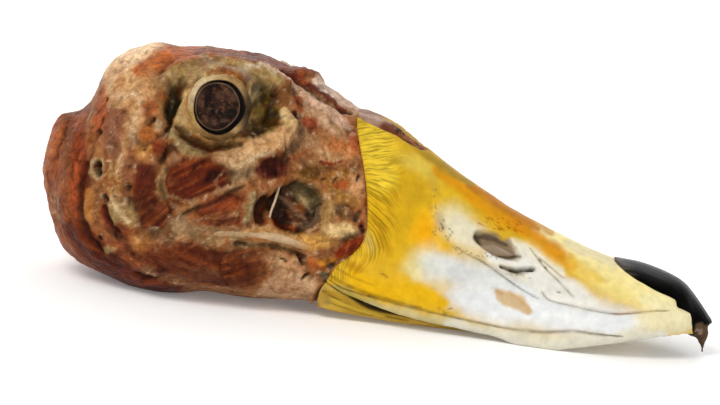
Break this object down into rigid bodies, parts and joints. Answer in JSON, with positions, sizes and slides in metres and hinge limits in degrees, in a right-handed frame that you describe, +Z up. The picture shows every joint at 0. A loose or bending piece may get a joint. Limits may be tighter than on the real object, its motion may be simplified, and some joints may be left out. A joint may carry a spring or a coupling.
{
  "type": "skinned steamer duck head",
  "caption": "Skinned head of a steamer duck with muscle, fat, eyes and a horny bill, resting on its jaw and the rims of the bill.",
  "frame": {"origin": "on the floor under the middle of the head's box", "axes": "+X along the head towards the tip of the bill, +Z up, -Y the bird's right side"},
  "size_m": [0.1198, 0.0428, 0.0417],
  "materials": {
    "crown_tissue": "moist orange-brown tissue over cream bone",
    "face_tissue": "moist pinkish cream bone and membrane",
    "muscle": "moist red-brown muscle with fat",
    "jaw_tissue": "moist red-brown muscle and cream bone",
    "eye_white": "dull olive cream, moist",
    "eye_lens": "dried, dull dark brown",
    "bone": "cream bone, satin",
    "tendon": "pale, satin",
    "bill_horn": "yellow and white horn, satin",
    "lower_bill_horn": "olive yellow horn, satin",
    "nail_horn": "black horn, satin",
    "dark_skin": "dark skin with short feather stubs"
  },
  "bodies": {
    "root": {"cranium": "crown_tissue", "face": "face_tissue", "nape_muscle": "muscle", "jaw_flesh": "jaw_tissue", "cheek_right": "muscle", "cheek_left": "muscle", "eyeball_right": "eye_white", "eyeball_left": "eye_white", "lens_right": "eye_lens", "lens_left": "eye_lens", "jugal_bar_right": "bone", "jugal_bar_left": "bone", "tendon_right": "tendon", "tendon_left": "tendon", "bill_upper": "bill_horn", "bill_lower": "lower_bill_horn", "bill_nail": "nail_horn", "ridge_skin": "dark_skin"}
  },
  "joints": []
}
